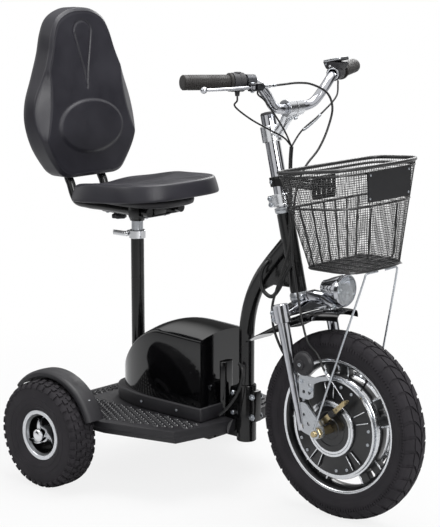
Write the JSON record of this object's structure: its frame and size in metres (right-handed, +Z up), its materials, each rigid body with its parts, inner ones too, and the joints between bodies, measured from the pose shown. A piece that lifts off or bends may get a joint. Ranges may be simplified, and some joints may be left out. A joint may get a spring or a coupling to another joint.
{
  "type": "seated three-wheel electric scooter",
  "caption": "Seated three-wheel electric scooter with hub-motor front wheel, raked fork, basket, battery dome and padded seat with backrest.",
  "frame": {"origin": "centre of the bounding box, on the ground under the tyres", "axes": "+X forward, +Y to the rider's left, +Z up"},
  "size_m": [1.1004, 0.6526, 1.11],
  "materials": {
    "black_paint": "semi-gloss black powder coat on steel or cast aluminium",
    "chrome_plate": "bright chrome plate on steel",
    "satin_metal": "satin cast or machined aluminium and bright zinc plate",
    "yellow_zinc": "yellow zinc plated steel",
    "tyre": "black tyre rubber with block tread",
    "soft_rubber": "black soft rubber and cable sheath",
    "moulded_black": "fine-grained black polypropylene",
    "gloss_black": "high-gloss black plastic",
    "foam_skin": "soft black integral-skin polyurethane foam",
    "lens": "clear ribbed lamp lens",
    "cell_wrap": "blue heat-shrink wrap round the cells"
  },
  "bodies": {
    "chassis": {"base_frame": "black_paint", "rear_axle": "satin_metal", "main_column": "black_paint", "headset_cup_lower": "satin_metal", "headset_cup_upper": "satin_metal", "deck": "moulded_black", "battery_cover": "gloss_black", "battery_pack": "cell_wrap", "motor_controller": "satin_metal", "fender_right": "moulded_black", "fender_left": "moulded_black", "cable_loop": "soft_rubber", "seat_post_outer": "black_paint", "seat_collar": "chrome_plate"},
    "rear_wheel_right": {"rear_tyre_right": "tyre", "rear_rim_right": "satin_metal", "rear_hub_cap_right": "chrome_plate"},
    "rear_wheel_left": {"rear_tyre_left": "tyre", "rear_rim_left": "satin_metal", "rear_hub_cap_left": "chrome_plate"},
    "release_lever": {"quick_release_lever": "black_paint"},
    "seat": {"seat_bracket": "black_paint", "seat_cushion": "foam_skin"},
    "backrest": {"backrest_frame": "black_paint", "backrest_pad": "foam_skin"},
    "knob": {"backrest_knob": "moulded_black"},
    "steering": {"fork_crown": "chrome_plate", "fork_blade_right": "chrome_plate", "fork_blade_left": "chrome_plate", "front_axle": "yellow_zinc", "motor_stator": "satin_metal", "brake_plate": "black_paint", "front_mudguard": "gloss_black", "headlight_shell": "chrome_plate", "headlight_lens": "lens", "headlight_bracket": "chrome_plate", "horn": "moulded_black", "horn_bracket": "satin_metal", "basket": "black_paint", "basket_bracket": "black_paint", "basket_stay_right": "satin_metal", "basket_stay_left": "satin_metal", "steering_column": "chrome_plate", "column_clamp": "satin_metal", "stem": "satin_metal", "handlebar": "chrome_plate", "grip_left": "soft_rubber", "throttle_housing": "moulded_black", "brake_lever_mount": "satin_metal", "display_unit": "moulded_black", "brake_cable": "soft_rubber", "wire_harness": "soft_rubber"},
    "front_wheel": {"front_tyre": "tyre", "front_rim": "black_paint", "motor_cover_right": "black_paint", "motor_cover_left": "black_paint"},
    "brake_cam": {"brake_arm": "yellow_zinc"},
    "hand_brake": {"brake_lever": "chrome_plate"},
    "throttle": {"throttle_grip": "soft_rubber"},
    "horn_switch": {"horn_button": "satin_metal"}
  },
  "joints": [
    {"name": "rear_wheel_right_spin", "type": "hinge", "parent": "chassis", "child": "rear_wheel_right", "pos_m": [-0.32375, -0.286, 0.1284], "axis": [0, 1, 0], "continuous": true},
    {"name": "rear_wheel_left_spin", "type": "hinge", "parent": "chassis", "child": "rear_wheel_left", "pos_m": [-0.32375, 0.286, 0.1284], "axis": [0, 1, 0], "continuous": true},
    {"name": "release_lever_swing", "type": "hinge", "parent": "chassis", "child": "release_lever", "pos_m": [-0.32925, -0.019, 0.571], "axis": [0, 0, 1], "range_deg": [0, 90]},
    {"name": "seat_height", "type": "slide", "parent": "chassis", "child": "seat", "axis": [0, 0, 1], "range_m": [-0.02, 0.1]},
    {"name": "backrest_depth", "type": "slide", "parent": "seat", "child": "backrest", "axis": [-1, 0, 0], "range_m": [-0.01, 0.035]},
    {"name": "backrest_knob_turn", "type": "hinge", "parent": "seat", "child": "knob", "pos_m": [-0.36775, 0, 0.613], "axis": [0, 0, 1], "range_deg": [0, 180]},
    {"name": "steering_turn", "type": "hinge", "parent": "chassis", "child": "steering", "pos_m": [0.20794, 0, 0.47965], "axis": [-0.2334, 0, 0.9724], "range_deg": [-45, 45], "deforming": ["cable_loop"]},
    {"name": "front_wheel_spin", "type": "hinge", "parent": "steering", "child": "front_wheel", "pos_m": [0.33425, 0, 0.21482], "axis": [0, 1, 0], "continuous": true},
    {"name": "brake_lever_pull", "type": "hinge", "parent": "steering", "child": "hand_brake", "pos_m": [0.20878, -0.168, 0.97075], "axis": [0, 0, -1], "range_deg": [0, 10], "stiffness_Nm_per_rad": 4},
    {"name": "brake_arm_turn", "type": "hinge", "parent": "steering", "child": "brake_cam", "pos_m": [0.32825, -0.06, 0.23282], "axis": [0, -1, 0], "range_deg": [0, 12], "stiffness_Nm_per_rad": 2, "deforming": ["brake_cable"]},
    {"name": "throttle_twist", "type": "hinge", "parent": "steering", "child": "throttle", "pos_m": [0.14386, -0.24, 0.98228], "axis": [-0.3725, -0.9275, 0.0325], "range_deg": [0, 60], "stiffness_Nm_per_rad": 0.4},
    {"name": "horn_press", "type": "slide", "parent": "steering", "child": "horn_switch", "axis": [1, 0, 0], "range_m": [0, 0.0025], "stiffness_N_per_m": 400}
  ],
  "couplings": [
    {"joint": "brake_arm_turn", "follows": "brake_lever_pull", "ratio": 1.2}
  ]
}
